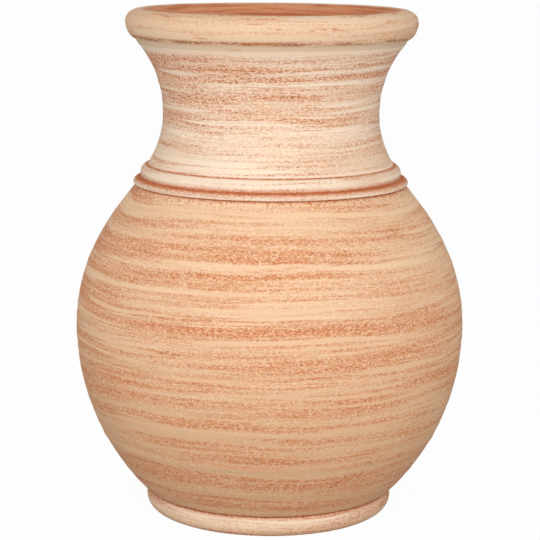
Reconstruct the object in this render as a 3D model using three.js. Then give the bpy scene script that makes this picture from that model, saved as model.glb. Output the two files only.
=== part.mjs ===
// Terracotta vase: a round body on a low foot ring, a waisted neck and a rolled rim.
// It is built the way a potter lutes a large pot together from turned pieces: a floor slab inside a foot
// ring, two bowls joined mouth to mouth at the widest level, a neck set on the shoulder with two bands laid
// over that joint, and a rim roll keyed on the top of the neck.
// Millimetres, +Z up, origin on the ground at the middle of the foot.
import * as THREE from "three";

// Heights, stacked from the ground to the crest of the rim: 500 mm in all
const footHeight = 22;
const lowerBowlRise = 165; // from the foot to the widest level
const shoulderRise = 141.9; // from the widest level to the seat of the lower band
const lowerBandHeight = 6.7;
const upperBandHeight = 12.6;
const waistRise = 50.8; // from the top of the upper band to the waist of the neck
const flareRise = 68; // from the waist to the seat of the rim
const rimHeight = 33;

// Outside radii
const footRadius = 123;
const bodyFootRadius = footRadius - 0.4; // where the body meets the foot ring
const bellyRadius = 192.6;
const neckBaseRadius = 121.5; // where the upper band meets the neck
const upperBandRadius = neckBaseRadius + 7.1;
const lowerBandRadius = upperBandRadius + 7.1;
const shoulderRadius = lowerBandRadius - 2.9; // where the shoulder meets the lower band
const waistRadius = 106.3;
const rimSeatRadius = 131;
const rimEdgeRadius = rimSeatRadius + 5.6; // lower edge of the roll, over its hollow underside
const rimRadius = rimSeatRadius + 12.2;
const rimCrestRadius = rimSeatRadius - 2;

// Clay thickness, across the wall
const bodyWall = 13;
const neckWall = 12;
const mouthFlare = 1.3; // how far the mouth opens from the rim's seat to its rounded inner edge

// Foot ring and floor slab
const footCornerWidth = 13; // rounding of its lower edge, out from the flat that it stands on
const footRingWall = 14.7; // from the gap round the slab to its outside
const slabLedge = 12; // how far it reaches in under the slab
const footWidestHeight = 14;
const footTopSetback = 2.5; // rounding of its upper edge, which leaves a groove under the body
const slabRecess = 4; // underside of the slab above the ground
const drainRadius = 14;
const drainBevel = 3;

// Joints
const slipGap = 0.3; // slip-filled clearance between the sides of two pieces
const lapHeight = 6; // stepped lap between the two bowls
const luteLip = 1; // lower bowl's thin inner edge, smoothed on the floor
const luteRadius = 9; // hollow between wall and floor inside
const rimKeyHeight = 4; // ridge on top of the neck, in the middle of its wall
const rimKeyWidth = 6;
const rimKeyTaper = 0.5;
const lowerBandDepth = 6.1; // how far the lower band's seat is cut into the shoulder
const upperBandDepth = 2; // how far the upper band's seat is cut into the neck

// Curves
const bellyPull = 66; // how long the shoulder's curve stays upright above the widest level
const shoulderPull = 45; // how long it keeps its slope below the lower band
const shoulderSlope = THREE.MathUtils.degToRad(51); // at the lower band, from level
const lowerBandWidestHeight = 2; // above its seat
const lowerBandTopWidth = 6.2; // how far its top slopes in from its widest radius
const upperBandWidestHeight = 4.4;
const upperBandBaseInset = 0.9;
const rimEdgeHeight = 6; // above the rim's seat
const rimWidestHeight = 21.2;
const rimLowerReach = 18; // half height of the roll below its widest level
const rimInnerDrop = 13; // how far the mouth's inside is rounded down from the crest
const rimHollowDepth = 0.7; // hollow of the roll's underside, between its seat and its lower edge

// Fineness
const aroundSteps = 48;
const longArcSteps = 9;
const shortArcSteps = 5;
const beadArcSteps = 4;

// Levels above the ground
const bellyLevel = footHeight + lowerBowlRise;
const bandSeatLevel = bellyLevel + shoulderRise;
const neckSeatLevel = bandSeatLevel + lowerBandHeight;
const bandTopLevel = neckSeatLevel + upperBandHeight;
const waistLevel = bandTopLevel + waistRise;
const rimSeatLevel = waistLevel + flareRise;
const crestLevel = rimSeatLevel + rimHeight;

const point = (radius, level) => new THREE.Vector2(radius, level);

// Points of an ellipse quarter or part of it, in the plane of the outline: x is the radius, y the level.
function ellipsePoints(centre, radiusReach, levelReach, fromAngle, toAngle, steps) {
  const points = [];
  for (let i = 0; i <= steps; i += 1) {
    const angle = fromAngle + ((toAngle - fromAngle) * i) / steps;
    points.push(point(centre.x + radiusReach * Math.cos(angle), centre.y + levelReach * Math.sin(angle)));
  }
  return points;
}

const arcPoints = (arc, fromAngle, toAngle, steps) =>
  ellipsePoints(arc.centre, arc.radius, arc.radius, fromAngle, toAngle, steps);

// The circle that stands upright at apex and passes through end: outward is 1 where it bulges,
// -1 where it is waisted.
function uprightArc(apex, end, outward) {
  const sideways = outward * (apex.x - end.x);
  const rise = end.y - apex.y;
  const radius = (sideways * sideways + rise * rise) / (2 * sideways);
  return { centre: point(apex.x - outward * radius, apex.y), radius };
}

const offsetArc = (arc, by) => ({ centre: arc.centre, radius: arc.radius + by });

// The angle at which an arc reaches a level, on its outward side or, for a waisted arc, on its inward side.
function angleAtLevel(arc, level, outward = 1) {
  const tilt = Math.asin((level - arc.centre.y) / arc.radius);
  return outward > 0 ? tilt : Math.PI - tilt;
}

function radiusAtLevel(arc, level, outward = 1) {
  return arc.centre.x + arc.radius * Math.cos(angleAtLevel(arc, level, outward));
}

// Points along a curve that climbs with the axis on its left, moved in from it by a wall's thickness.
function curvePoints(curve, inward, steps) {
  const points = [];
  for (let i = 0; i <= steps; i += 1) {
    const at = curve.getPoint(i / steps);
    const along = curve.getTangent(i / steps);
    points.push(point(at.x - along.y * inward, at.y + along.x * inward));
  }
  return points;
}

// The radius at which a climbing line of points crosses a level.
function radiusCrossing(points, level) {
  const above = points.findIndex((at) => at.y > level);
  const [low, high] = [points[above - 1], points[above]];
  return THREE.MathUtils.mapLinear(level, low.y, high.y, low.x, high.x);
}

// Outer curves of the body and neck, and the wall's inner curves beside them
const widest = point(bellyRadius, bellyLevel);
const shoulderEnd = point(shoulderRadius, bandSeatLevel);
const waist = point(waistRadius, waistLevel);
const lowerArc = uprightArc(widest, point(bodyFootRadius, footHeight), 1);
const shoulderCurve = new THREE.CubicBezierCurve(
  widest,
  point(bellyRadius, bellyLevel + bellyPull),
  point(
    shoulderRadius + shoulderPull * Math.cos(shoulderSlope),
    bandSeatLevel - shoulderPull * Math.sin(shoulderSlope),
  ),
  shoulderEnd,
);
const waistArc = uprightArc(waist, point(neckBaseRadius, bandTopLevel), -1);
const flareArc = uprightArc(waist, point(rimSeatRadius, rimSeatLevel), -1);
const lowerInside = offsetArc(lowerArc, -bodyWall);
const shoulderInside = curvePoints(shoulderCurve, bodyWall, longArcSteps);
const waistInside = offsetArc(waistArc, neckWall);
const flareInside = offsetArc(flareArc, neckWall);
const shoulderMouth = shoulderInside.at(-1);
const shoulderMouthRadius = shoulderMouth.x - (neckSeatLevel - shoulderMouth.y) / Math.tan(shoulderSlope);
const rimSeatInnerRadius = radiusAtLevel(flareInside, rimSeatLevel, -1);
const rimInnerRadius = rimSeatInnerRadius + mouthFlare;

// Turned faces that more than one piece meets
const slabRadius = footRadius - footRingWall - slipGap;
const lapRadius = bellyRadius - bodyWall / 2;
const lowerBandSeatRadius = shoulderRadius - lowerBandDepth;
const neckFootRadius = neckBaseRadius - upperBandDepth;
const keyMiddleRadius = (rimSeatInnerRadius + rimSeatRadius) / 2;

function floorSlab() {
  return [
    point(drainRadius, slabRecess),
    point(slabRadius, slabRecess),
    point(slabRadius, footHeight),
    point(drainRadius + drainBevel, footHeight),
    point(drainRadius, footHeight - drainBevel),
  ];
}

function footRing() {
  const underEdge = point(footRadius - footCornerWidth, footWidestHeight);
  const innerRadius = slabRadius - slabLedge;
  const topEdge = point(footRadius - footTopSetback, footWidestHeight);
  return [
    point(innerRadius, 0),
    ...ellipsePoints(underEdge, footCornerWidth, footWidestHeight, -Math.PI / 2, 0, shortArcSteps),
    ...ellipsePoints(
      topEdge, footTopSetback, footHeight - footWidestHeight, 0, Math.PI / 2, beadArcSteps,
    ).slice(1),
    point(slabRadius + slipGap, footHeight),
    point(slabRadius + slipGap, slabRecess),
    point(innerRadius, slabRecess),
  ];
}

function lowerBowl() {
  const lapTop = bellyLevel + lapHeight;
  const luteArc = { centre: point(0, footHeight + luteLip + luteRadius), radius: luteRadius };
  const centreRing = offsetArc(lowerInside, -luteRadius);
  const touchAngle = angleAtLevel(centreRing, luteArc.centre.y);
  luteArc.centre.x = radiusAtLevel(centreRing, luteArc.centre.y);
  return [
    ...arcPoints(lowerArc, angleAtLevel(lowerArc, footHeight), 0, longArcSteps),
    point(lapRadius, bellyLevel),
    point(lapRadius, lapTop),
    point(radiusCrossing(shoulderInside, lapTop), lapTop),
    ...arcPoints(lowerInside, 0, touchAngle, longArcSteps - 1),
    ...arcPoints(luteArc, touchAngle, -Math.PI / 2, beadArcSteps - 1).slice(1),
    point(luteArc.centre.x, footHeight),
  ];
}

function upperBowl() {
  const lapTop = bellyLevel + lapHeight + slipGap;
  return [
    ...curvePoints(shoulderCurve, 0, longArcSteps),
    point(lowerBandSeatRadius, bandSeatLevel),
    point(lowerBandSeatRadius, neckSeatLevel),
    point(shoulderMouthRadius, neckSeatLevel),
    ...shoulderInside.filter((at) => at.y > lapTop).reverse(),
    point(radiusCrossing(shoulderInside, lapTop), lapTop),
    point(lapRadius + slipGap, lapTop),
    point(lapRadius + slipGap, bellyLevel),
  ];
}

function lowerBand() {
  const widestLevel = bandSeatLevel + lowerBandWidestHeight;
  const lowReach = lowerBandRadius - shoulderRadius;
  const topReach = lowerBandHeight - lowerBandWidestHeight;
  const topCentre = point(lowerBandRadius - lowerBandTopWidth, widestLevel);
  return [
    point(lowerBandSeatRadius + slipGap, bandSeatLevel),
    ...ellipsePoints(
      point(shoulderRadius, widestLevel), lowReach, lowerBandWidestHeight, -Math.PI / 2, 0, beadArcSteps - 1,
    ),
    ...ellipsePoints(topCentre, lowerBandTopWidth, topReach, 0, Math.PI / 2, beadArcSteps).slice(1),
    point(lowerBandSeatRadius + slipGap, neckSeatLevel),
  ];
}

function upperBand() {
  const widestLevel = neckSeatLevel + upperBandWidestHeight;
  const lowCentre = point(upperBandRadius - upperBandBaseInset, widestLevel);
  const topReach = upperBandHeight - upperBandWidestHeight;
  return [
    point(neckFootRadius + slipGap, neckSeatLevel),
    ...ellipsePoints(
      lowCentre, upperBandBaseInset, upperBandWidestHeight, -Math.PI / 2, 0, beadArcSteps - 1,
    ),
    ...ellipsePoints(
      point(neckBaseRadius, widestLevel), upperBandRadius - neckBaseRadius, topReach,
      0, Math.PI / 2, beadArcSteps,
    ).slice(1),
    point(neckFootRadius + slipGap, bandTopLevel),
  ];
}

function neck() {
  const keyHalf = rimKeyWidth / 2;
  return [
    point(neckFootRadius, neckSeatLevel),
    point(neckFootRadius, bandTopLevel),
    ...arcPoints(waistArc, angleAtLevel(waistArc, bandTopLevel, -1), Math.PI, shortArcSteps),
    ...arcPoints(flareArc, Math.PI, angleAtLevel(flareArc, rimSeatLevel, -1), shortArcSteps + 1).slice(1),
    point(keyMiddleRadius + keyHalf, rimSeatLevel),
    point(keyMiddleRadius + keyHalf - rimKeyTaper, rimSeatLevel + rimKeyHeight),
    point(keyMiddleRadius - keyHalf + rimKeyTaper, rimSeatLevel + rimKeyHeight),
    point(keyMiddleRadius - keyHalf, rimSeatLevel),
    ...arcPoints(flareInside, angleAtLevel(flareInside, rimSeatLevel, -1), Math.PI, shortArcSteps),
    ...arcPoints(
      waistInside, Math.PI, angleAtLevel(waistInside, bandTopLevel, -1), shortArcSteps - 1,
    ).slice(1),
    point(shoulderMouthRadius, neckSeatLevel),
  ];
}

function rimRoll() {
  const grooveHalf = rimKeyWidth / 2 + slipGap;
  const grooveTop = rimSeatLevel + rimKeyHeight + slipGap;
  const widestLevel = rimSeatLevel + rimWidestHeight;
  const rollReach = rimRadius - rimCrestRadius;
  const edgeAngle = -Math.asin((rimWidestHeight - rimEdgeHeight) / rimLowerReach);
  const rollCentre = point(rimCrestRadius, widestLevel);
  const mouthCentre = point(rimCrestRadius, crestLevel - rimInnerDrop);
  const hollow = point(
    (rimSeatRadius + rimEdgeRadius) / 2 - rimHollowDepth,
    rimSeatLevel + rimEdgeHeight / 2 + rimHollowDepth,
  );
  return [
    point(rimSeatRadius, rimSeatLevel),
    hollow,
    ...ellipsePoints(rollCentre, rollReach, rimLowerReach, edgeAngle, 0, beadArcSteps),
    ...ellipsePoints(
      rollCentre, rollReach, crestLevel - widestLevel, 0, Math.PI / 2, shortArcSteps,
    ).slice(1),
    ...ellipsePoints(
      mouthCentre, rimCrestRadius - rimInnerRadius, rimInnerDrop,
      Math.PI / 2, Math.PI, shortArcSteps,
    ).slice(1),
    point(rimSeatInnerRadius, rimSeatLevel),
    point(keyMiddleRadius - grooveHalf, rimSeatLevel),
    point(keyMiddleRadius - grooveHalf + rimKeyTaper, grooveTop),
    point(keyMiddleRadius + grooveHalf - rimKeyTaper, grooveTop),
    point(keyMiddleRadius + grooveHalf, rimSeatLevel),
  ];
}

// Fired clay under a thin lime wash, thicker on the neck, bands and rim; the slab has none.
const washedClay = { color: 0xe6c4a0, roughness: 0.9, metalness: 0 };
const paleWashedClay = { color: 0xeed6b8, roughness: 0.88, metalness: 0 };
const bareClay = { color: 0xd0906a, roughness: 0.92, metalness: 0 };

const vase = new THREE.Group();

// One turned piece: its outline, given anticlockwise with the axis on the left, is closed and spun round +Z.
function addTurnedPiece(name, outline, finish) {
  const geometry = new THREE.LatheGeometry([...outline, outline[0].clone()], aroundSteps);
  geometry.rotateX(Math.PI / 2);
  const piece = new THREE.Mesh(geometry, new THREE.MeshStandardMaterial(finish));
  piece.name = name;
  vase.add(piece);
}

addTurnedPiece("foot_ring", footRing(), washedClay);
addTurnedPiece("floor_slab", floorSlab(), bareClay);
addTurnedPiece("lower_bowl", lowerBowl(), washedClay);
addTurnedPiece("upper_bowl", upperBowl(), washedClay);
addTurnedPiece("lower_collar_band", lowerBand(), paleWashedClay);
addTurnedPiece("upper_collar_band", upperBand(), paleWashedClay);
addTurnedPiece("neck", neck(), paleWashedClay);
addTurnedPiece("rim_roll", rimRoll(), paleWashedClay);

export default vase;
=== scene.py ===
"""A hand-turned terracotta vase, brushed with a thin lime wash that leaves the clay showing in streaks.
Each turned piece of the frame is turned again here on a fine mesh, with the potter's rings and unevenness
in its shape, and every surface gets a material worked out from its place on the pot. Metres, as the frame."""

import math

import bpy
import numpy as np
from mathutils import Matrix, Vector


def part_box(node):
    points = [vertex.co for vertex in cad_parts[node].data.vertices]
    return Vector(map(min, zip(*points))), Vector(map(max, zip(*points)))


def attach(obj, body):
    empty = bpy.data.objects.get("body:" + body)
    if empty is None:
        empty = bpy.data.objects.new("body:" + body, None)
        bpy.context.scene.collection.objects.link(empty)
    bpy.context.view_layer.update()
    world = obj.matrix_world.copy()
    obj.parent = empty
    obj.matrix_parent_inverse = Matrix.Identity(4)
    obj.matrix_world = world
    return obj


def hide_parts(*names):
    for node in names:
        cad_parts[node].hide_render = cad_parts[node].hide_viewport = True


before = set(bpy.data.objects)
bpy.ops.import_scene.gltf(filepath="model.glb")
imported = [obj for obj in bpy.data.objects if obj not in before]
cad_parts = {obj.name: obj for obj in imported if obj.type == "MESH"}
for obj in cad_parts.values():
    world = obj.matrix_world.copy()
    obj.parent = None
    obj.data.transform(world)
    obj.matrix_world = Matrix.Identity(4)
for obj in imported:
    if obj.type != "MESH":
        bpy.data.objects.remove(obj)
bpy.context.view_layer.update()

MM = 0.001
QUARTER_TURN = math.pi / 2
FULL_TURN = 2 * math.pi

# The photograph's view: on the middle line, looking a little down, rolled by the lean that the pot has there
CAMERA_DISTANCE = 2.0
CAMERA_HEIGHT = 0.5986
CAMERA_PITCH = math.radians(10.14)
CAMERA_ROLL = math.radians(0.43)
FOCAL_PIXELS = 2034.4
PHOTO_WIDTH = 540
SENSOR_WIDTH = 36.0

# Sizes that the frame's boxes don't give, as in the part's source
BODY_FOOT_INSET = 0.4 * MM
UPPER_BAND_REACH = 7.1 * MM
LOWER_BAND_REACH = 2.9 * MM
WAIST_RADIUS = 106.3 * MM
WAIST_RISE = 50.8 * MM
RIM_EDGE_REACH = 5.6 * MM
RIM_CREST_SETBACK = 2 * MM
MOUTH_FLARE = 1.3 * MM
BODY_WALL = 13 * MM
NECK_WALL = 12 * MM
FOOT_CORNER_WIDTH = 13 * MM
SLAB_LEDGE = 12 * MM
FOOT_WIDEST_HEIGHT = 14 * MM
FOOT_TOP_SETBACK = 2.5 * MM
DRAIN_RADIUS = 14 * MM
DRAIN_BEVEL = 3 * MM
SLIP_GAP = 0.3 * MM
LUTE_LIP = 1 * MM
LUTE_RADIUS = 9 * MM
RIM_KEY_HEIGHT = 4 * MM
RIM_KEY_WIDTH = 6 * MM
RIM_KEY_TAPER = 0.5 * MM
LOWER_BAND_DEPTH = 6.1 * MM
UPPER_BAND_DEPTH = 2 * MM
BELLY_PULL = 66 * MM
SHOULDER_PULL = 45 * MM
SHOULDER_SLOPE = math.radians(51)
LOWER_BAND_WIDEST_HEIGHT = 2 * MM
LOWER_BAND_TOP_WIDTH = 6.2 * MM
UPPER_BAND_WIDEST_HEIGHT = 4.4 * MM
UPPER_BAND_BASE_INSET = 0.9 * MM
RIM_EDGE_HEIGHT = 6 * MM
RIM_WIDEST_HEIGHT = 21.2 * MM
RIM_LOWER_REACH = 18 * MM
RIM_INNER_DROP = 13 * MM
RIM_HOLLOW_DEPTH = 0.7 * MM

# Fineness of the turned meshes
AROUND_STEPS = 360
SKIN_STEP = 1.6 * MM
INSIDE_STEP = 6 * MM
EDGE_ANGLE = math.radians(38)
SAME_POINT = 1e-7
FOOT_LOWER_STEPS, FOOT_UPPER_STEPS = 14, 10
BAND_LOWER_STEPS, LOWER_BAND_UPPER_STEPS, UPPER_BAND_UPPER_STEPS = 7, 12, 14
RIM_LOWER_STEPS, RIM_UPPER_STEPS, RIM_MOUTH_STEPS = 16, 18, 16

# The two material slots of each piece
SKIN, INSIDE = 0, 1


def top(node):
    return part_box(node)[1][2]


def bottom(node):
    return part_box(node)[0][2]


def reach(node):
    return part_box(node)[1][0]


FOOT_TOP = top("foot_ring")
BELLY_LEVEL = bottom("upper_bowl")
LAP_TOP = top("lower_bowl")
BAND_SEAT = bottom("lower_collar_band")
NECK_SEAT = bottom("neck")
BAND_TOP = top("upper_collar_band")
WAIST_LEVEL = BAND_TOP + WAIST_RISE
RIM_SEAT = bottom("rim_roll")
CREST = top("rim_roll")
BELLY_RADIUS = reach("lower_bowl")
FOOT_RADIUS = reach("foot_ring")
BODY_FOOT_RADIUS = FOOT_RADIUS - BODY_FOOT_INSET
NECK_BASE_RADIUS = reach("upper_collar_band") - UPPER_BAND_REACH
SHOULDER_RADIUS = reach("lower_collar_band") - LOWER_BAND_REACH
RIM_SEAT_RADIUS = reach("neck")
RIM_EDGE_RADIUS = RIM_SEAT_RADIUS + RIM_EDGE_REACH
RIM_CREST_RADIUS = RIM_SEAT_RADIUS - RIM_CREST_SETBACK


class Arc:
    """A round stretch of an outline: centre (radius, level) and its own radius."""

    def __init__(self, centre, radius):
        self.centre = np.array(centre, float)
        self.radius = radius

    def offset(self, by):
        return Arc(self.centre, self.radius + by)

    def angle_at(self, level, outward=1):
        tilt = math.asin((level - self.centre[1]) / self.radius)
        return tilt if outward > 0 else math.pi - tilt

    def radius_at(self, level, outward=1):
        return self.centre[0] + self.radius * math.cos(self.angle_at(level, outward))

    def points(self, start, end, step):
        count = max(2, math.ceil(abs(end - start) * self.radius / step))
        return ellipse(self.centre, self.radius, self.radius, start, end, count)


def ellipse(centre, radius_reach, level_reach, start, end, steps):
    """Points of an ellipse between two angles, in the plane of the outline."""
    angles = np.linspace(start, end, steps + 1)
    return [(centre[0] + radius_reach * math.cos(a), centre[1] + level_reach * math.sin(a)) for a in angles]


def upright_arc(apex, end, outward):
    """The circle that stands upright at apex and passes through end."""
    sideways = outward * (apex[0] - end[0])
    rise = end[1] - apex[1]
    radius = (sideways ** 2 + rise ** 2) / (2 * sideways)
    return Arc((apex[0] - outward * radius, apex[1]), radius)


def pulled_curve(ends, pulls, inward, step):
    """Points of a curve between two ends that the two pulls shape, moved in by a wall's thickness."""
    corners = np.array((ends[0], pulls[0], pulls[1], ends[1]))
    count = math.ceil(math.dist(*ends) / step)
    points = []
    for share in np.linspace(0, 1, count + 1):
        rest = 1 - share
        weights = np.array((rest ** 3, 3 * rest ** 2 * share, 3 * rest * share ** 2, share ** 3))
        along = np.array((rest ** 2, 2 * rest * share, share ** 2)) @ np.diff(corners, axis=0)
        along /= np.linalg.norm(along)
        points.append(tuple(weights @ corners + inward * np.array((-along[1], along[0]))))
    return points


def radius_crossing(points, level):
    """The radius at which a climbing line of points crosses a level."""
    return float(np.interp(level, [z for _, z in points], [r for r, _ in points]))


# The same curves as the part's source
widest = (BELLY_RADIUS, BELLY_LEVEL)
shoulder_end = (SHOULDER_RADIUS, BAND_SEAT)
waist = (WAIST_RADIUS, WAIST_LEVEL)
lower_arc = upright_arc(widest, (BODY_FOOT_RADIUS, FOOT_TOP), 1)
shoulder_pulls = (
    (BELLY_RADIUS, BELLY_LEVEL + BELLY_PULL),
    (
        SHOULDER_RADIUS + SHOULDER_PULL * math.cos(SHOULDER_SLOPE),
        BAND_SEAT - SHOULDER_PULL * math.sin(SHOULDER_SLOPE),
    ),
)
waist_arc = upright_arc(waist, (NECK_BASE_RADIUS, BAND_TOP), -1)
flare_arc = upright_arc(waist, (RIM_SEAT_RADIUS, RIM_SEAT), -1)
lower_inside = lower_arc.offset(-BODY_WALL)
shoulder_outside = pulled_curve((widest, shoulder_end), shoulder_pulls, 0, SKIN_STEP)
shoulder_inside = pulled_curve((widest, shoulder_end), shoulder_pulls, BODY_WALL, INSIDE_STEP)
waist_inside = waist_arc.offset(NECK_WALL)
flare_inside = flare_arc.offset(NECK_WALL)
shoulder_end_radius, shoulder_end_level = shoulder_inside[-1]
shoulder_mouth_radius = shoulder_end_radius - (NECK_SEAT - shoulder_end_level) / math.tan(SHOULDER_SLOPE)
rim_seat_inner_radius = flare_inside.radius_at(RIM_SEAT, -1)
rim_inner_radius = rim_seat_inner_radius + MOUTH_FLARE
lap_radius = BELLY_RADIUS - BODY_WALL / 2
slab_radius = reach("floor_slab")
lower_band_seat_radius = SHOULDER_RADIUS - LOWER_BAND_DEPTH
neck_foot_radius = NECK_BASE_RADIUS - UPPER_BAND_DEPTH
key_middle_radius = (rim_seat_inner_radius + RIM_SEAT_RADIUS) / 2


def skin(points):
    return [(r, z, SKIN) for r, z in points]


def inside(points):
    return [(r, z, INSIDE) for r, z in points]


def floor_slab_outline():
    under = bottom("floor_slab")
    return inside([
        (DRAIN_RADIUS, under), (slab_radius, under), (slab_radius, FOOT_TOP),
        (DRAIN_RADIUS + DRAIN_BEVEL, FOOT_TOP), (DRAIN_RADIUS, FOOT_TOP - DRAIN_BEVEL),
    ])


def foot_ring_outline():
    inner_edge = slab_radius - SLAB_LEDGE
    slab_under = bottom("floor_slab")
    under = ellipse(
        (FOOT_RADIUS - FOOT_CORNER_WIDTH, FOOT_WIDEST_HEIGHT), FOOT_CORNER_WIDTH, FOOT_WIDEST_HEIGHT,
        -QUARTER_TURN, 0, FOOT_LOWER_STEPS,
    )
    over = ellipse(
        (FOOT_RADIUS - FOOT_TOP_SETBACK, FOOT_WIDEST_HEIGHT), FOOT_TOP_SETBACK, FOOT_TOP - FOOT_WIDEST_HEIGHT,
        0, QUARTER_TURN, FOOT_UPPER_STEPS,
    )
    return inside([(inner_edge, 0)]) + skin(under + over[1:]) + inside([
        (slab_radius + SLIP_GAP, FOOT_TOP), (slab_radius + SLIP_GAP, slab_under), (inner_edge, slab_under),
    ])


def lower_bowl_outline():
    lute_level = FOOT_TOP + LUTE_LIP + LUTE_RADIUS
    centre_ring = lower_inside.offset(-LUTE_RADIUS)
    touch = centre_ring.angle_at(lute_level)
    lute = Arc((centre_ring.radius_at(lute_level), lute_level), LUTE_RADIUS)
    return skin(lower_arc.points(lower_arc.angle_at(FOOT_TOP), 0, SKIN_STEP)) + inside(
        [(lap_radius, BELLY_LEVEL), (lap_radius, LAP_TOP)]
        + [(radius_crossing(shoulder_inside, LAP_TOP), LAP_TOP)]
        + lower_inside.points(0, touch, INSIDE_STEP)
        + lute.points(touch, -QUARTER_TURN, INSIDE_STEP / 3)[1:]
        + [(lute.centre[0], FOOT_TOP)]
    )


def upper_bowl_outline():
    lap_top = LAP_TOP + SLIP_GAP
    climbing = [(r, z) for r, z in shoulder_inside if z > lap_top]
    return skin(shoulder_outside) + inside(
        [(lower_band_seat_radius, BAND_SEAT), (lower_band_seat_radius, NECK_SEAT)]
        + [(shoulder_mouth_radius, NECK_SEAT)]
        + climbing[::-1]
        + [(radius_crossing(shoulder_inside, lap_top), lap_top)]
        + [(lap_radius + SLIP_GAP, lap_top), (lap_radius + SLIP_GAP, BELLY_LEVEL)]
    )


def lower_band_outline():
    band_radius = reach("lower_collar_band")
    level = BAND_SEAT + LOWER_BAND_WIDEST_HEIGHT
    low = ellipse(
        (SHOULDER_RADIUS, level), band_radius - SHOULDER_RADIUS, LOWER_BAND_WIDEST_HEIGHT,
        -QUARTER_TURN, 0, BAND_LOWER_STEPS,
    )
    high = ellipse(
        (band_radius - LOWER_BAND_TOP_WIDTH, level), LOWER_BAND_TOP_WIDTH, NECK_SEAT - level,
        0, QUARTER_TURN, LOWER_BAND_UPPER_STEPS,
    )
    seat = lower_band_seat_radius + SLIP_GAP
    return inside([(seat, BAND_SEAT)]) + skin(low + high[1:]) + inside([(seat, NECK_SEAT)])


def upper_band_outline():
    band_radius = reach("upper_collar_band")
    level = NECK_SEAT + UPPER_BAND_WIDEST_HEIGHT
    low = ellipse(
        (band_radius - UPPER_BAND_BASE_INSET, level), UPPER_BAND_BASE_INSET, UPPER_BAND_WIDEST_HEIGHT,
        -QUARTER_TURN, 0, BAND_LOWER_STEPS,
    )
    high = ellipse(
        (NECK_BASE_RADIUS, level), band_radius - NECK_BASE_RADIUS, BAND_TOP - level,
        0, QUARTER_TURN, UPPER_BAND_UPPER_STEPS,
    )
    seat = neck_foot_radius + SLIP_GAP
    return inside([(seat, NECK_SEAT)]) + skin(low + high[1:]) + inside([(seat, BAND_TOP)])


def neck_outline():
    half = RIM_KEY_WIDTH / 2
    key_top = RIM_SEAT + RIM_KEY_HEIGHT
    outer = waist_arc.points(waist_arc.angle_at(BAND_TOP, -1), math.pi, SKIN_STEP)
    outer += flare_arc.points(math.pi, flare_arc.angle_at(RIM_SEAT, -1), SKIN_STEP)[1:]
    inner = flare_inside.points(flare_inside.angle_at(RIM_SEAT, -1), math.pi, INSIDE_STEP / 2)
    inner += waist_inside.points(math.pi, waist_inside.angle_at(BAND_TOP, -1), INSIDE_STEP / 2)[1:]
    return inside([(neck_foot_radius, NECK_SEAT), (neck_foot_radius, BAND_TOP)]) + skin(outer) + inside([
        (key_middle_radius + half, RIM_SEAT),
        (key_middle_radius + half - RIM_KEY_TAPER, key_top),
        (key_middle_radius - half + RIM_KEY_TAPER, key_top),
        (key_middle_radius - half, RIM_SEAT),
    ] + inner + [(shoulder_mouth_radius, NECK_SEAT)])


def rim_roll_outline():
    half = RIM_KEY_WIDTH / 2 + SLIP_GAP
    groove_top = RIM_SEAT + RIM_KEY_HEIGHT + SLIP_GAP
    level = RIM_SEAT + RIM_WIDEST_HEIGHT
    roll = reach("rim_roll") - RIM_CREST_RADIUS
    edge = -math.asin((RIM_WIDEST_HEIGHT - RIM_EDGE_HEIGHT) / RIM_LOWER_REACH)
    hollow = (
        (RIM_SEAT_RADIUS + RIM_EDGE_RADIUS) / 2 - RIM_HOLLOW_DEPTH,
        RIM_SEAT + RIM_EDGE_HEIGHT / 2 + RIM_HOLLOW_DEPTH,
    )
    lower = ellipse((RIM_CREST_RADIUS, level), roll, RIM_LOWER_REACH, edge, 0, RIM_LOWER_STEPS)
    upper = ellipse((RIM_CREST_RADIUS, level), roll, CREST - level, 0, QUARTER_TURN, RIM_UPPER_STEPS)
    mouth = ellipse(
        (RIM_CREST_RADIUS, CREST - RIM_INNER_DROP), RIM_CREST_RADIUS - rim_inner_radius, RIM_INNER_DROP,
        QUARTER_TURN, math.pi, RIM_MOUTH_STEPS,
    )
    return skin([(RIM_SEAT_RADIUS, RIM_SEAT), hollow] + lower + upper[1:] + mouth[1:]) + inside([
        (rim_seat_inner_radius, RIM_SEAT),
        (key_middle_radius - half, RIM_SEAT),
        (key_middle_radius - half + RIM_KEY_TAPER, groove_top),
        (key_middle_radius + half - RIM_KEY_TAPER, groove_top),
        (key_middle_radius + half, RIM_SEAT),
    ])


# The potter's hand: shallow rings left by fingers and ribs, drifting a little up and down round the pot
RING_COUNT = 46
RING_DEPTH = (0.10 * MM, 0.32 * MM)
RING_WIDTH = (1.6 * MM, 4.5 * MM)
RING_DRIFT = 3 * MM
RING_WAVES = (1, 4)
SWELL_COUNT = 6
SWELL_DEPTH = 0.45 * MM
SWELL_WAVES = (1, 5)
SWELL_RATE = (8, 40)
STANDING_EDGE = 0.5 * MM
HAND_SEED = 7

hand = np.random.default_rng(HAND_SEED)
rings = [
    (
        hand.uniform(FOOT_TOP, RIM_SEAT),
        hand.uniform(*RING_WIDTH),
        hand.uniform(*RING_DEPTH) * hand.choice((-1, 1)),
        hand.uniform(0, RING_DRIFT),
        hand.uniform(0, FULL_TURN),
        hand.integers(*RING_WAVES),
    )
    for _ in range(RING_COUNT)
]
swells = [
    (hand.integers(*SWELL_WAVES), hand.uniform(*SWELL_RATE), hand.uniform(0, FULL_TURN))
    for _ in range(SWELL_COUNT)
]


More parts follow.
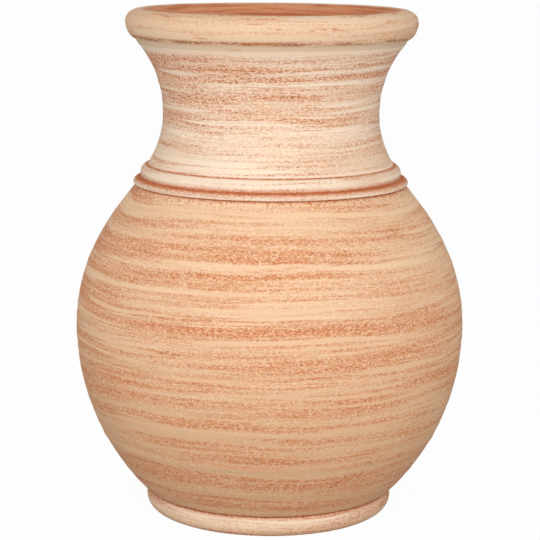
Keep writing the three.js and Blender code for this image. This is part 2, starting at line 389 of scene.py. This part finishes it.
def hand_relief(angle, level):
    """How far the surface stands out from the true outline, at each angle and level."""
    relief = np.zeros_like(angle)
    for middle, width, depth, drift, phase, waves in rings:
        along = level - middle - drift * np.sin(waves * angle + phase)
        relief += depth * np.exp(-((along / width) ** 2))
    for waves, rate, phase in swells:
        relief += SWELL_DEPTH / len(swells) * np.sin(waves * angle + rate * level + phase)
    return relief


def turned(name, node, outline, materials, relief_share=1.0):
    """Turns an outline into a closed mesh that stands for a CAD node. Its skin carries the hand's relief."""
    outline = [p for i, p in enumerate(outline) if math.dist(p[:2], outline[i - 1][:2]) > SAME_POINT]
    rows = np.array([(r, z) for r, z, _ in outline])
    kinds = np.array([kind for _, _, kind in outline])
    along = np.roll(rows, -1, axis=0) - np.roll(rows, 1, axis=0)
    across = np.stack((along[:, 1], -along[:, 0]), axis=1)
    across /= np.linalg.norm(across, axis=1)[:, None]
    angle, level = np.meshgrid(np.linspace(0, FULL_TURN, AROUND_STEPS, endpoint=False), rows[:, 1])
    relief = hand_relief(angle, level) * (relief_share * (kinds == SKIN))[:, None]
    relief = np.where(level > STANDING_EDGE, relief, 0)
    radius = rows[:, :1] + across[:, :1] * relief
    height = rows[:, 1:] + across[:, 1:] * relief
    points = np.stack((radius * np.cos(angle), radius * np.sin(angle), height), axis=-1).reshape(-1, 3)
    count = len(rows)
    faces, slots = [], []
    for i in range(count):
        after = (i + 1) % count
        both_skin = kinds[i] == SKIN and kinds[after] == SKIN
        for j in range(AROUND_STEPS):
            beside = (j + 1) % AROUND_STEPS
            faces.append((
                i * AROUND_STEPS + j, i * AROUND_STEPS + beside,
                after * AROUND_STEPS + beside, after * AROUND_STEPS + j,
            ))
            slots.append(SKIN if both_skin else INSIDE)
    mesh = bpy.data.meshes.new(name)
    mesh.from_pydata(points.tolist(), [], faces)
    for material in materials:
        mesh.materials.append(material)
    mesh.polygons.foreach_set("material_index", slots)
    mesh.polygons.foreach_set("use_smooth", [True] * len(faces))
    mesh.set_sharp_from_angle(angle=EDGE_ANGLE)
    mesh.update()
    piece = bpy.data.objects.new(name, mesh)
    bpy.context.scene.collection.objects.link(piece)
    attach(piece, "root")
    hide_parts(node)


# Sockets of a Mix node that mixes colours
MIX_SHARE, MIX_FIRST, MIX_SECOND, MIX_RESULT = 0, 6, 7, 2


class Value:
    """A number socket of a material. Arithmetic on it adds Math nodes."""

    def __init__(self, recipe, socket):
        self.recipe, self.socket = recipe, socket

    def math(self, operation, *operands):
        return self.recipe.value("ShaderNodeMath", {"operation": operation}, dict(enumerate(operands)))

    def __add__(self, other):
        return self.math("ADD", self, other)

    def __radd__(self, other):
        return self.math("ADD", other, self)

    def __sub__(self, other):
        return self.math("SUBTRACT", self, other)

    def __rsub__(self, other):
        return self.math("SUBTRACT", other, self)

    def __mul__(self, other):
        return self.math("MULTIPLY", self, other)

    def __rmul__(self, other):
        return self.math("MULTIPLY", other, self)

    def __abs__(self):
        return self.math("ABSOLUTE", self)

    def rise(self, low, high):
        """0 below low, 1 above high, smooth between them."""
        inputs = {"Value": self, "From Min": low, "From Max": high}
        return self.recipe.value("ShaderNodeMapRange", {"interpolation_type": "SMOOTHSTEP"}, inputs)

    def near(self, place, width):
        """1 at a place, falling to 0 at a width from it."""
        return 1 - abs(self - place).rise(0, width)


class Recipe:
    """The nodes of one material or of the world."""

    def __init__(self, owner):
        self.owner = owner
        owner.use_nodes = True
        self.tree = owner.node_tree
        self.tree.nodes.clear()

    def node(self, kind, settings=None, inputs=None):
        node = self.tree.nodes.new(kind)
        for key, setting in (settings or {}).items():
            setattr(node, key, setting)
        for key, value in (inputs or {}).items():
            if isinstance(value, Value):
                value = value.socket
            if isinstance(value, bpy.types.NodeSocket):
                self.tree.links.new(value, node.inputs[key])
            else:
                node.inputs[key].default_value = value
        return node

    def value(self, kind, settings=None, inputs=None, output=0):
        return Value(self, self.node(kind, settings, inputs).outputs[output])

    def mix(self, share, first, second):
        inputs = {MIX_SHARE: share, MIX_FIRST: first, MIX_SECOND: second}
        return self.node("ShaderNodeMix", {"data_type": "RGBA"}, inputs).outputs[MIX_RESULT]


class ClayRecipe(Recipe):
    """A clay's nodes, which start from the point's place on the pot."""

    def __init__(self, name):
        super().__init__(bpy.data.materials.new(name))
        self.place = self.node("ShaderNodeTexCoord").outputs["Object"]
        parts = self.node("ShaderNodeSeparateXYZ", inputs={"Vector": self.place})
        self.x, self.y, self.z = (Value(self, socket) for socket in parts.outputs)

    def radius(self):
        flat = self.node("ShaderNodeVectorMath", {"operation": "MULTIPLY"}, {0: self.place, 1: (1, 1, 0)})
        return self.value("ShaderNodeVectorMath", {"operation": "LENGTH"}, {0: flat.outputs[0]}, "Value")

    def noise(self, rates, detail=2.0, roughness=0.5, level=None, shift=0.0):
        """Smooth noise, 0 to 1, that changes at one rate round the pot and at another up it.
        Marks of different kinds get different shifts, so that they fall in different places."""
        across, up = rates
        level = self.z if level is None else level
        inputs = {"X": self.x * across + shift, "Y": self.y * across, "Z": level * up}
        place = self.node("ShaderNodeCombineXYZ", inputs=inputs).outputs[0]
        inputs = {"Vector": place, "Scale": 1.0, "Detail": detail, "Roughness": roughness}
        return self.value("ShaderNodeTexNoise", {"noise_dimensions": "3D"}, inputs)

    def finish(self, colour, roughness, height, relief):
        inputs = {"Strength": 1.0, "Distance": relief, "Height": height}
        bump = self.node("ShaderNodeBump", inputs=inputs)
        shader = self.node("ShaderNodeBsdfPrincipled", inputs={
            "Base Color": colour, "Roughness": roughness, "Normal": bump.outputs[0],
            "Specular IOR Level": DULL_GLOSS,
        })
        self.node("ShaderNodeOutputMaterial", inputs={"Surface": shader.outputs[0]})
        return self.owner


def srgb(red, green, blue):
    """A colour written as it looks on screen, 0 to 255."""
    def linear(part):
        part /= 255
        return part / 12.92 if part <= 0.04045 else ((part + 0.055) / 1.055) ** 2.4
    return (linear(red), linear(green), linear(blue), 1.0)


CREAM = srgb(246, 226, 202)
PEACH_CREAM = srgb(242, 205, 168)
OCHRE_CREAM = srgb(226, 184, 144)
PAINTED_SHADE_CREAM = srgb(226, 200, 170)
RIM_CREAM = srgb(236, 205, 173)
CLAY = srgb(223, 151, 102)
DEEP_CLAY = srgb(200, 112, 60)
PIT_BROWN = srgb(158, 82, 44)
EDGE_BROWN = srgb(166, 104, 68)
BARE_PALE = srgb(220, 156, 118)
BARE = srgb(207, 134, 94)
BARE_DARK = srgb(182, 104, 68)

WASHED_ROUGHNESS = 0.88
WASHED_RELIEF = 0.35 * MM
BARE_ROUGHNESS = 0.92
BARE_RELIEF = 0.3 * MM
DULL_GLOSS = 0.25

# How fast each kind of mark changes, per metre: round the pot, and up it
WANDER = (5, 9)
BROAD_BANDS = (2.6, 56)
BANDS = (5, 150)
STREAKS = (11, 400)
HAIRLINES = (60, 1100)
GRAIN = (380, 860)
PITS = (300, 760)
PATCHES = (20, 70)
SCRATCHES = (14, 900)
WASH_RIDGES = (4.5, 170)
TONES = (6, 24)
BARE_CLOUDS = (9, 40)
FINGER_STREAKS = (14, 420)
BARE_GRAIN = (420, 800)
RAGGED_EDGE = (40, 40)
DASHES = (26, 300)
DASH_GRAIN = (240, 700)
SMEARS = (18, 260)
SMEAR_GRAIN = (180, 600)
UPRIGHT_TICKS = (420, 60)

BAND_WANDER = 16 * MM
FINE_DETAIL = 3
GRAIN_ROUGHNESS = 0.7

# Where in a noise's 0 to 1 each mark starts and is full
WEAR = (0.42, 0.60)
SCRATCHED = (0.57, 0.66)
GRAIN_PALE = (0.38, 0.48)
GRAIN_DARK = (0.50, 0.58)
GRAIN_SPECKLE = (0.42, 0.58)
PITTED = (0.56, 0.63)
PITTED_PLACES = (0.25, 0.70)
RIDGED = (0.57, 0.63)
OCHRE_TONE = (0.35, 0.70)


def fired_clay(m):
    """The colour of fired clay with no wash, with the pale and dark streaks that the fingers left."""
    clouds = m.noise(BARE_CLOUDS, detail=1)
    streaks = m.noise(FINGER_STREAKS, detail=FINE_DETAIL)
    grain = m.noise(BARE_GRAIN, detail=FINE_DETAIL, roughness=GRAIN_ROUGHNESS)
    colour = m.mix((clouds * 0.5 + streaks * 0.5).rise(0.42, 0.58), BARE_PALE, BARE)
    colour = m.mix(streaks.rise(0.52, 0.62) * 0.7, colour, BARE_DARK)
    return m.mix(grain.rise(0.50, 0.62) * 0.5, colour, DEEP_CLAY)


def bare_clay():
    """The inside, the floor and the underside."""
    m = ClayRecipe("bare_clay")
    height = m.noise(BARE_GRAIN, detail=FINE_DETAIL) * 0.5 + m.noise(FINGER_STREAKS, detail=FINE_DETAIL)
    return m.finish(fired_clay(m), BARE_ROUGHNESS, height, BARE_RELIEF)


def washed_clay(name, washes, levels, clay_share, grain_share, pit_share, worn=(), creases_wiped_and_shaded=(), extra=None):
    """Clay under brushed lime wash, which goes from one colour to another between two levels.
    Each worn place is a level, how far it reaches, and how much more clay shows there.
    Each crease is a level, how far it reaches, how strongly it is wiped and darkened, and the colour that
    shows there: wiped clay, darkened as painted shade."""
    m = ClayRecipe(name)
    level = m.z + (m.noise(WANDER, detail=1) - 0.5) * BAND_WANDER

    # Where the wash has worn thin
    broad = m.noise(BROAD_BANDS, level=level)
    band = m.noise(BANDS, level=level, shift=3.1)
    streak = m.noise(STREAKS, level=level)
    hair = m.noise(HAIRLINES, level=level, detail=FINE_DETAIL)
    wear = broad * 0.30 + band * 0.34 + streak * 0.22 + hair * 0.14
    for place, width, amount in worn:
        wear = wear + m.z.near(place, width) * amount
    wear = wear.rise(*WEAR)

    wash = m.mix(m.z.rise(*levels), *washes)
    tone = m.mix(m.noise(TONES, shift=5.0).rise(*OCHRE_TONE) * 0.45, wash, OCHRE_CREAM)
    colour = m.mix(wear * clay_share, tone, CLAY)

    scratch = m.noise(SCRATCHES, level=level, detail=FINE_DETAIL, shift=2.3)
    colour = m.mix(scratch.rise(*SCRATCHED) * (wear * 0.7 + 0.3) * grain_share, colour, DEEP_CLAY)

    # Sandy grain: the wash stays on its crests and the clay shows in its hollows
    grain = m.noise(GRAIN, roughness=GRAIN_ROUGHNESS)
    colour = m.mix((1 - grain.rise(*GRAIN_PALE)) * (wear * 0.45 + 0.40) * grain_share, colour, CREAM)
    colour = m.mix(grain.rise(*GRAIN_DARK) * (wear * 0.70 + 0.30) * grain_share, colour, DEEP_CLAY)

    fleck = m.noise(PITS, roughness=GRAIN_ROUGHNESS, shift=7.7)
    patch = m.noise(PATCHES, level=level, shift=9.0)
    pits = fleck.rise(*PITTED) * (patch * 0.5 + wear * 0.5).rise(*PITTED_PLACES) * pit_share
    colour = m.mix(pits, colour, PIT_BROWN)

    # Long ridges of thicker wash, over everything else
    ridge = m.noise(WASH_RIDGES, level=level, shift=6.4)
    colour = m.mix(ridge.rise(*RIDGED) * 0.8, colour, wash)

    # The crease lines are wiped and painted darker there as painted shade, and the grain breaks up the clay
    # that shows there
    speckle = grain.rise(*GRAIN_SPECKLE) * 0.5 + 0.5
    for place, width, strength, shade in creases_wiped_and_shaded:
        colour = m.mix(m.z.near(place, width) * speckle * strength, colour, shade)
    if extra:
        colour = extra(m, colour)
    height = streak * 0.3 + hair * 0.2 + ridge * 0.4 - fleck * 0.6 - grain * 0.4
    return m.finish(colour, WASHED_ROUGHNESS, height, WASHED_RELIEF)


def mouth_bare(m, colour):
    """The wash ends just inside the crest of the rim, at a ragged edge."""
    edge = m.radius() + (m.noise(RAGGED_EDGE) - 0.5) * (5 * MM)
    washed = edge.rise(RIM_CREST_RADIUS - 6 * MM, RIM_CREST_RADIUS - 1 * MM)
    return m.mix(washed, fired_clay(m), colour)


def rim_edge(m, colour):
    """Clay shows in broken dashes along the lower edge of the roll, and in a few smears on it.
    The hollow below the edge is smooth, and is painted a darker cream as painted shade."""
    edge_level = RIM_SEAT + RIM_EDGE_HEIGHT
    # Painted shade: the hollow under the roll's edge is coloured a smooth, darker cream
    colour = m.mix(1 - m.z.rise(edge_level - 1 * MM, edge_level + 1 * MM), colour, PAINTED_SHADE_CREAM)
    dash_grain = m.noise(DASH_GRAIN, detail=FINE_DETAIL).rise(0.34, 0.56)
    dashes = m.noise(DASHES, shift=1.7).rise(0.30, 0.55) * dash_grain
    colour = m.mix(m.z.near(edge_level + 1.2 * MM, 3.2 * MM) * dashes, colour, EDGE_BROWN)
    smear_grain = m.noise(SMEAR_GRAIN, detail=FINE_DETAIL).rise(0.40, 0.60)
    smears = m.noise(SMEARS, detail=FINE_DETAIL, shift=8.2).rise(0.60, 0.68) * smear_grain
    colour = m.mix(smears * 0.7, colour, DEEP_CLAY)
    return mouth_bare(m, colour)


def under_rim(m, colour):
    """The neck's top is wiped smooth where it meets the rim, and its paler cream there is partly a painted
    highlight.
    """
    return m.mix(m.z.rise(RIM_SEAT - 6 * MM, RIM_SEAT - 2 * MM) * 0.85, colour, CREAM)


def tool_ticks(m, colour):
    """Short upright marks left on the shoulder under the lower band."""
    ticks = m.noise(UPRIGHT_TICKS).rise(0.50, 0.60)
    reach_down = m.z.rise(BAND_SEAT - 9 * MM, BAND_SEAT - 1 * MM)
    return m.mix(ticks * reach_down * 0.7, colour, DEEP_CLAY)


clay = bare_clay()
foot_wash = washed_clay(
    "washed_foot", (PEACH_CREAM, CREAM), (0, FOOT_TOP),
    clay_share=0.55, grain_share=0.75, pit_share=0.8,
    worn=[(FOOT_TOP, 12 * MM, 0.05)],
    # Painted shade on the foot ring's top: a darker clay band, partly wiped clay, and a dark painted shadow
    # line in the groove under the body
    creases_wiped_and_shaded=[(FOOT_TOP, 5 * MM, 0.9, DEEP_CLAY), (FOOT_TOP, 2 * MM, 1.0, PIT_BROWN)],
)
body_wash = washed_clay(
    "washed_body", (OCHRE_CREAM, PEACH_CREAM), (60 * MM, 300 * MM),
    clay_share=0.85, grain_share=0.62, pit_share=0.6,
    worn=[
        (BAND_SEAT, 26 * MM, -0.05),
        (95 * MM, 30 * MM, -0.05),
        (BELLY_LEVEL + 20 * MM, 90 * MM, 0.02),
    ],
    # Painted shadow: a dark line in the groove above the foot. Under the lower band, wiped clay darkened as
    # painted shade.
    creases_wiped_and_shaded=[
        (FOOT_TOP, 2.5 * MM, 1.1, PIT_BROWN),
        (BAND_SEAT, 3 * MM, 0.9, DEEP_CLAY),
        (BAND_SEAT, 1.4 * MM, 0.9, PIT_BROWN),
    ],
    extra=tool_ticks,
)
band_wash = washed_clay(
    "washed_bands", (CREAM, CREAM), (BAND_SEAT, BAND_TOP),
    clay_share=0.2, grain_share=0.45, pit_share=0.6,
    # Painted shade: a dark line under the lower band, a wide darker band on the upper band's downward-facing
    # underside, and darkened crease lines over and under the upper band, partly wiped clay.
    creases_wiped_and_shaded=[
        (BAND_SEAT, 1.2 * MM, 1.1, PIT_BROWN),
        (NECK_SEAT, 5.6 * MM, 0.8, DEEP_CLAY),
        (NECK_SEAT, 2.2 * MM, 1.3, DEEP_CLAY),
        (BAND_TOP, 1.1 * MM, 1.0, DEEP_CLAY),
    ],
)
neck_wash = washed_clay(
    "washed_neck", (CREAM, CREAM), (BAND_TOP, RIM_SEAT),
    clay_share=0.65, grain_share=0.8, pit_share=0.9,
    worn=[(RIM_SEAT - 22 * MM, 26 * MM, 0.05), (BAND_TOP, 30 * MM, -0.04)],
    # The crease at the neck's foot: wiped clay, darkened as painted shade.
    creases_wiped_and_shaded=[(BAND_TOP, 1.6 * MM, 1.2, DEEP_CLAY)],
    extra=under_rim,
)
rim_wash = washed_clay(
    "washed_rim", (RIM_CREAM, RIM_CREAM), (RIM_SEAT, CREST),
    clay_share=0.25, grain_share=0.35, pit_share=0.3,
    extra=rim_edge,
)

turned("foot_ring_washed", "foot_ring", foot_ring_outline(), [foot_wash, clay], relief_share=0.6)
turned("floor_slab_bare", "floor_slab", floor_slab_outline(), [clay, clay], relief_share=0.0)
turned("lower_bowl_washed", "lower_bowl", lower_bowl_outline(), [body_wash, clay])
turned("upper_bowl_washed", "upper_bowl", upper_bowl_outline(), [body_wash, clay])
turned("lower_band_washed", "lower_collar_band", lower_band_outline(), [band_wash, clay], relief_share=0.5)
turned("upper_band_washed", "upper_collar_band", upper_band_outline(), [band_wash, clay], relief_share=0.5)
turned("neck_washed", "neck", neck_outline(), [neck_wash, clay])
turned("rim_roll_washed", "rim_roll", rim_roll_outline(), [rim_wash, clay], relief_share=0.6)

# Floor and light
WHITE = (1.0, 1.0, 1.0, 1.0)
FLOOR_SIZE = 60.0
FLOOR_BOUNCE = (0.55, 0.55, 0.55, 1.0)
FLOOR_GLOW_SHARE = 0.96
WORLD_STRENGTH = 0.5
LIT_PLACE = (0, 0, 0.27)


def pale_floor():
    """The camera sees this floor as white but for the pot's shadow. It lights the pot as grey paper would."""
    mesh = bpy.data.meshes.new("floor")
    half = FLOOR_SIZE / 2
    corners = [(-half, -half, 0), (half, -half, 0), (half, half, 0), (-half, half, 0)]
    mesh.from_pydata(corners, [], [(0, 1, 2, 3)])
    floor = bpy.data.objects.new("floor", mesh)
    bpy.context.scene.collection.objects.link(floor)
    m = Recipe(bpy.data.materials.new("floor_white"))
    seen = m.value("ShaderNodeLightPath", output="Is Camera Ray")
    matt = m.node("ShaderNodeBsdfDiffuse", inputs={"Color": m.mix(seen, FLOOR_BOUNCE, WHITE)})
    glow = m.node("ShaderNodeEmission", inputs={"Color": WHITE, "Strength": 1.0})
    inputs = {0: seen * FLOOR_GLOW_SHARE, 1: matt.outputs[0], 2: glow.outputs[0]}
    both = m.node("ShaderNodeMixShader", inputs=inputs)
    m.node("ShaderNodeOutputMaterial", inputs={"Surface": both.outputs[0]})
    mesh.materials.append(m.owner)


def white_world():
    world = bpy.data.worlds.new("studio")
    bpy.context.scene.world = world
    m = Recipe(world)
    seen = m.value("ShaderNodeLightPath", output="Is Camera Ray")
    strength = m.value("ShaderNodeMapRange", inputs={"Value": seen, "To Min": WORLD_STRENGTH, "To Max": 1.0})
    background = m.node("ShaderNodeBackground", inputs={"Color": WHITE, "Strength": strength})
    m.node("ShaderNodeOutputWorld", inputs={"Surface": background.outputs[0]})


def soft_lamp(name, place, size, power):
    """A square lamp that faces the pot's middle."""
    lamp = bpy.data.lights.new(name, "AREA")
    lamp.shape, lamp.size, lamp.energy = "SQUARE", size, power
    holder = bpy.data.objects.new(name, lamp)
    bpy.context.scene.collection.objects.link(holder)
    holder.location = place
    away = np.array(place) - np.array(LIT_PLACE)
    yaw = math.atan2(away[1], away[0]) + QUARTER_TURN
    tilt = math.acos(away[2] / np.linalg.norm(away))
    holder.rotation_euler = (tilt, 0, yaw)


pale_floor()
white_world()
soft_lamp("front_softbox", (0.0, -2.5, 0.95), size=1.7, power=35.5)
soft_lamp("left_softbox", (-2.2, -1.2, 1.2), size=1.2, power=9)
soft_lamp("right_softbox", (2.2, -1.2, 1.2), size=1.2, power=9)

camera_data = bpy.data.cameras.new("camera")
camera_data.sensor_width = SENSOR_WIDTH
camera_data.lens = SENSOR_WIDTH * FOCAL_PIXELS / PHOTO_WIDTH
camera = bpy.data.objects.new("camera", camera_data)
bpy.context.scene.collection.objects.link(camera)
camera.matrix_world = (
    Matrix.Translation((0, -CAMERA_DISTANCE, CAMERA_HEIGHT))
    @ Matrix.Rotation(QUARTER_TURN - CAMERA_PITCH, 4, "X")
    @ Matrix.Rotation(CAMERA_ROLL, 4, "Z")
)
bpy.context.scene.camera = camera
bpy.context.scene.view_settings.view_transform = "Standard"
